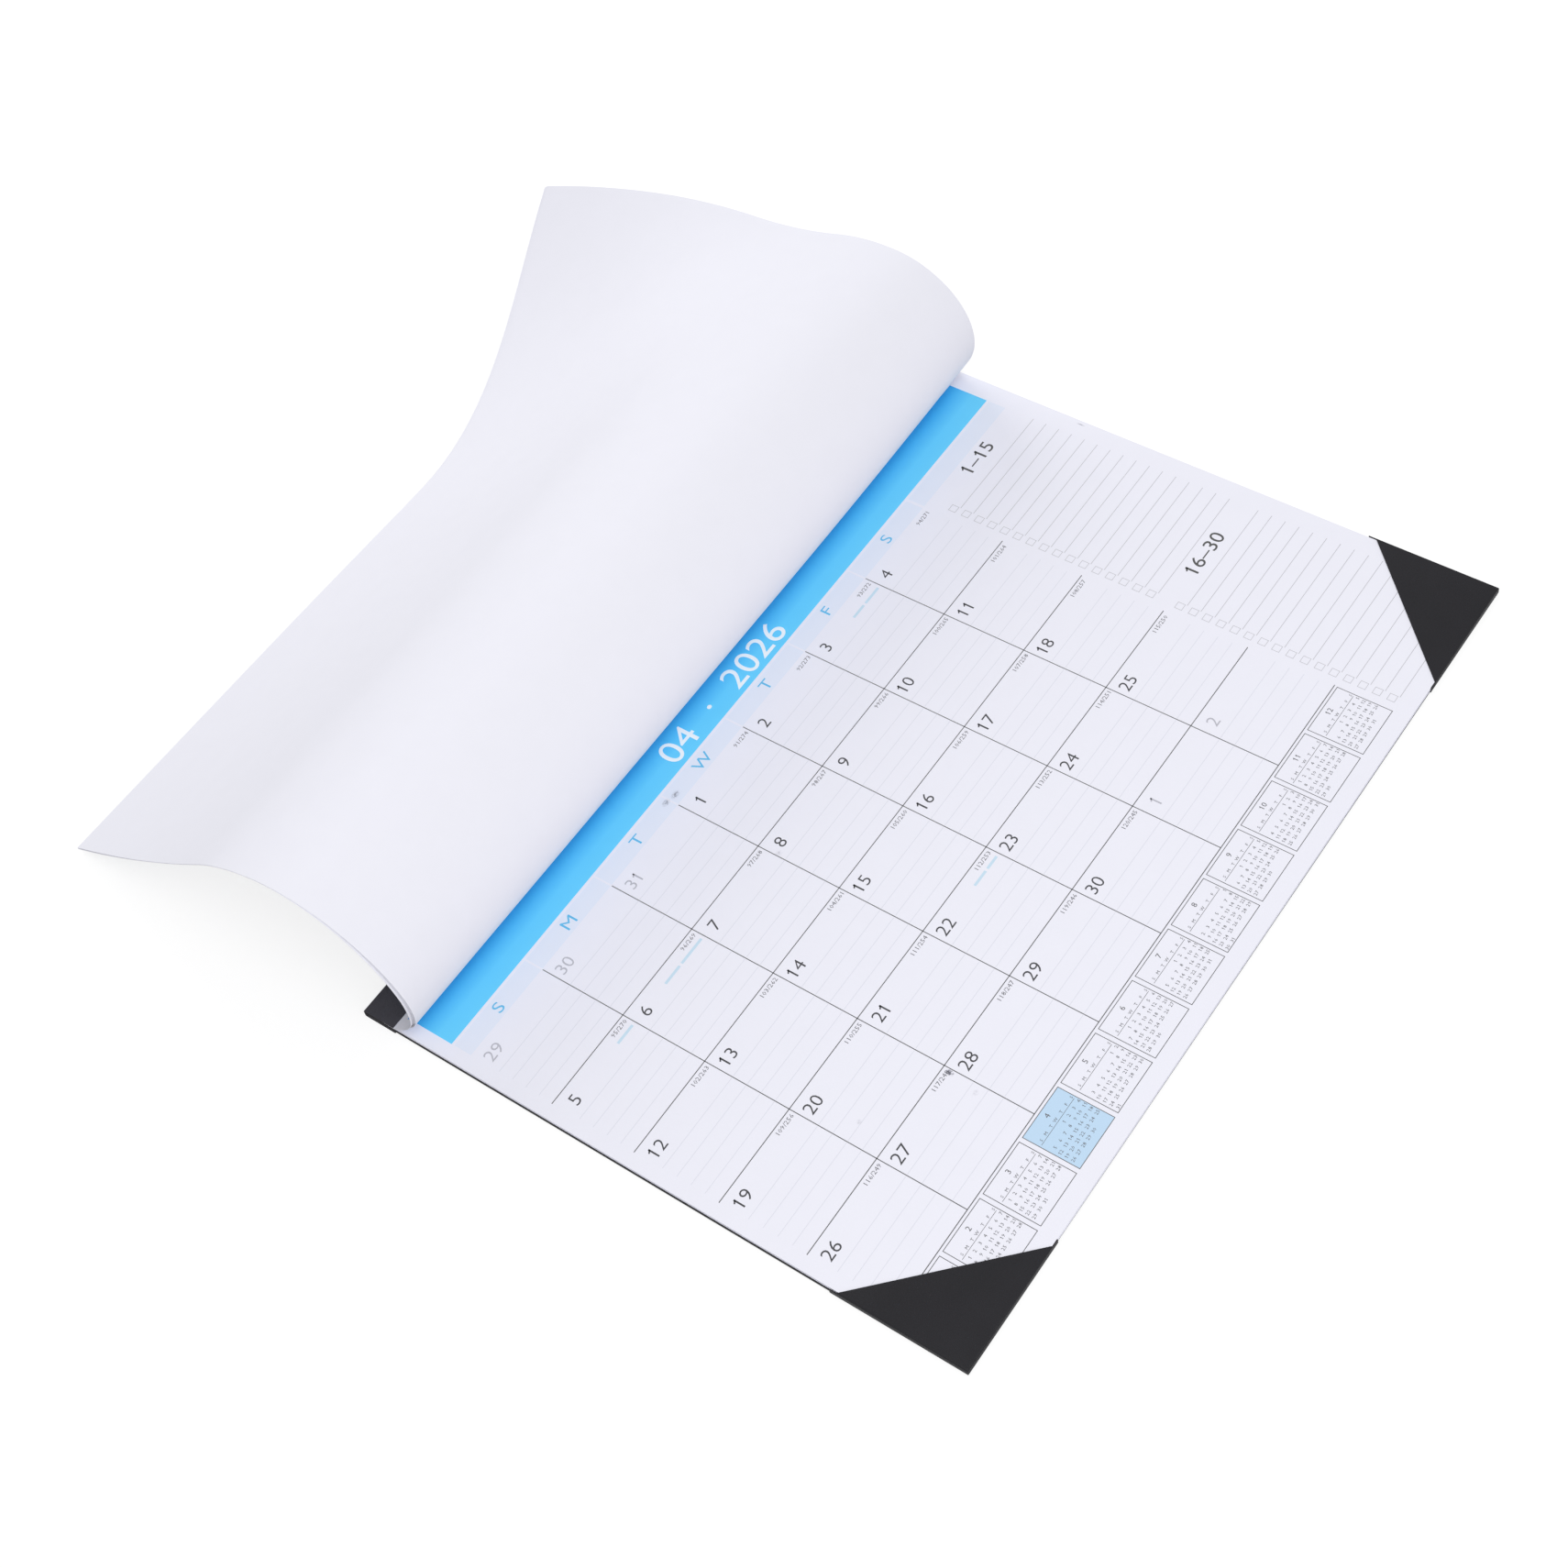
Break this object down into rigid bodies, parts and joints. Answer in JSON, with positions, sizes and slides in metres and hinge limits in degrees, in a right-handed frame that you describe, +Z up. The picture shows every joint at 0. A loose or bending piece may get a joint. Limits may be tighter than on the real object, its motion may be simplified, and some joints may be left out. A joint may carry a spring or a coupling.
{
  "type": "desk calendar",
  "caption": "Flat desk pad calendar on a stiff board with corner pockets and a wrapped binding strip, its used leaves turned back over the binding in an open loop.",
  "frame": {"origin": "on the desk, at the middle of the footprint of the pad and its turned leaves", "axes": "+X to the reader's right, +Y from the reader towards the binding, +Z up from the desk"},
  "size_m": [0.4354, 0.4994, 0.0787],
  "materials": {
    "board": "matte black-faced card",
    "pages": "smooth white offset paper, printed",
    "turned_pages": "smooth white offset paper, plain back",
    "leatherette": "black leatherette, fine grain, low sheen",
    "staple_wire": "galvanised flat wire"
  },
  "bodies": {
    "root": {"backing_board": "board", "page_block": "pages", "turned_leaves": "turned_pages", "binding_strip": "leatherette", "corner_pocket_left": "leatherette", "corner_pocket_right": "leatherette", "binding_staple_1": "staple_wire", "binding_staple_2": "staple_wire", "binding_staple_3": "staple_wire", "binding_staple_4": "staple_wire"}
  },
  "joints": []
}
